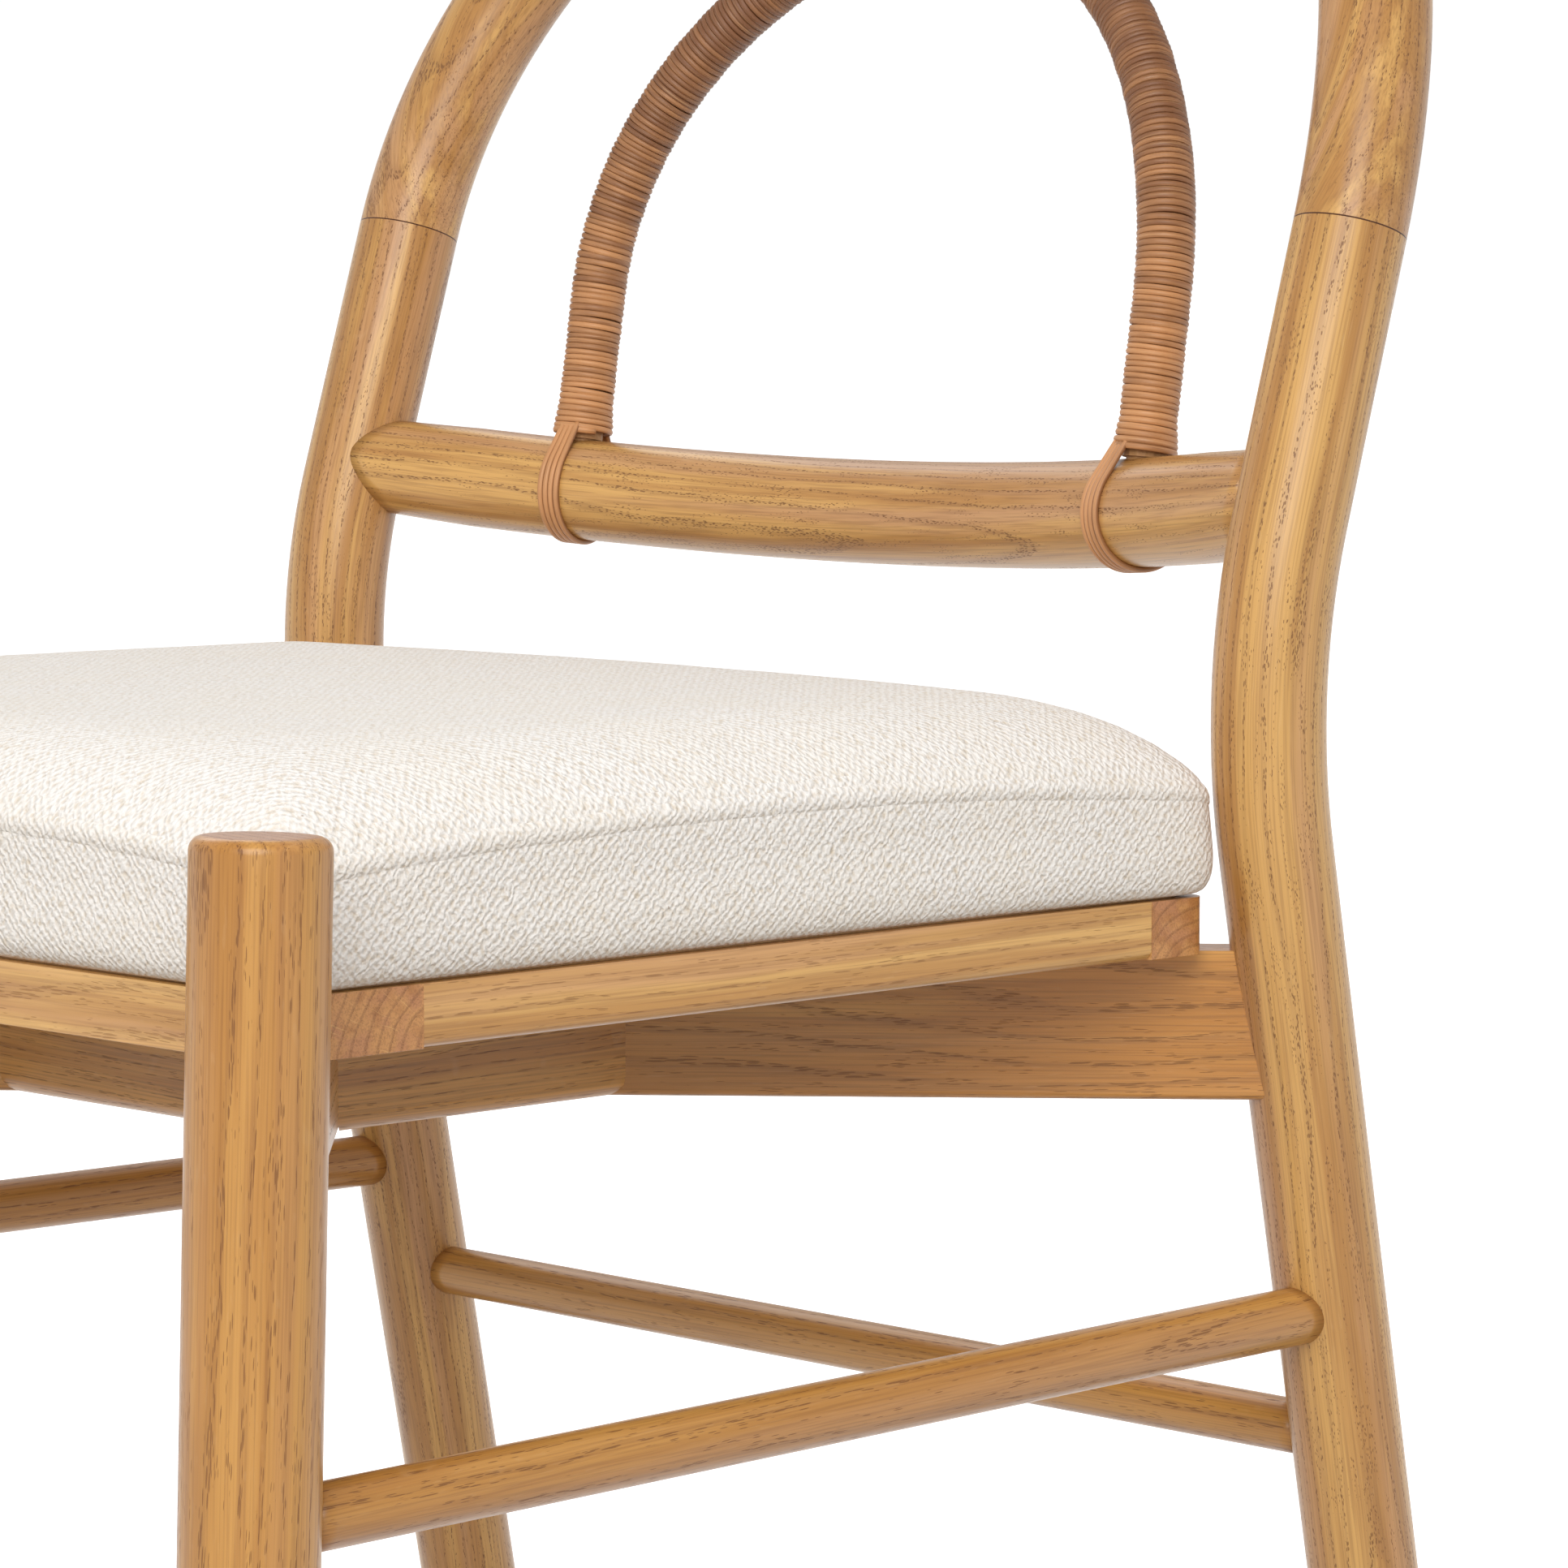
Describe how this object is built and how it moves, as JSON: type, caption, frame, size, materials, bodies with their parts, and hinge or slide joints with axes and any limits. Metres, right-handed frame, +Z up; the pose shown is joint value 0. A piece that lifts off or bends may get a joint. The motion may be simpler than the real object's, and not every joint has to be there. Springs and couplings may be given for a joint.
{
  "type": "dining side chair",
  "caption": "Armless oak side chair with round legs, bent rear posts, a hoop back with a bowed rail and a rattan-wrapped inner arch, and a boxed fabric seat on an X-shaped underframe.",
  "frame": {"origin": "on the floor, under the middle of the chair's bounding box", "axes": "+Z up; +Y from the front edge of the seat to the back; +X to the right seen from the front"},
  "size_m": [0.543, 0.6308, 0.8679],
  "materials": {
    "oak": "satin clear-coated oak",
    "beech": "raw turned wood",
    "rattan": "wrapped rattan peel, satin",
    "plywood": "raw plywood",
    "foam": "open-cell cushion foam",
    "seat_fabric": "coarse cream weave",
    "lining": "black non-woven lining",
    "steel": "zinc-plated",
    "nylon": "matte brown"
  },
  "bodies": {
    "root": {"front_leg_left": "oak", "front_leg_right": "oak", "rear_post_left": "oak", "rear_post_right": "oak", "hoop": "oak", "back_rail": "oak", "seat_frame_front": "oak", "seat_frame_rear": "oak", "seat_frame_left": "oak", "seat_frame_right": "oak", "cross_rail_a": "oak", "cross_rail_b": "oak", "box_rail_front": "oak", "box_rail_rear": "oak", "box_rail_left": "oak", "box_rail_right": "oak", "side_stretcher_left": "oak", "side_stretcher_right": "oak", "rear_stretcher": "oak", "arch_rod": "beech", "arch_wrap": "rattan", "arch_binding_left": "rattan", "arch_binding_right": "rattan", "seat_board": "plywood", "seat_foam": "foam", "seat_cover": "seat_fabric", "dust_cover": "lining", "hoop_dowels": "beech", "rail_dowels": "beech", "leg_dowels": "beech", "post_dowels": "beech", "box_dowels": "beech", "frame_dowels": "beech", "seat_screws": "steel", "foot_glides": "nylon"}
  },
  "joints": []
}
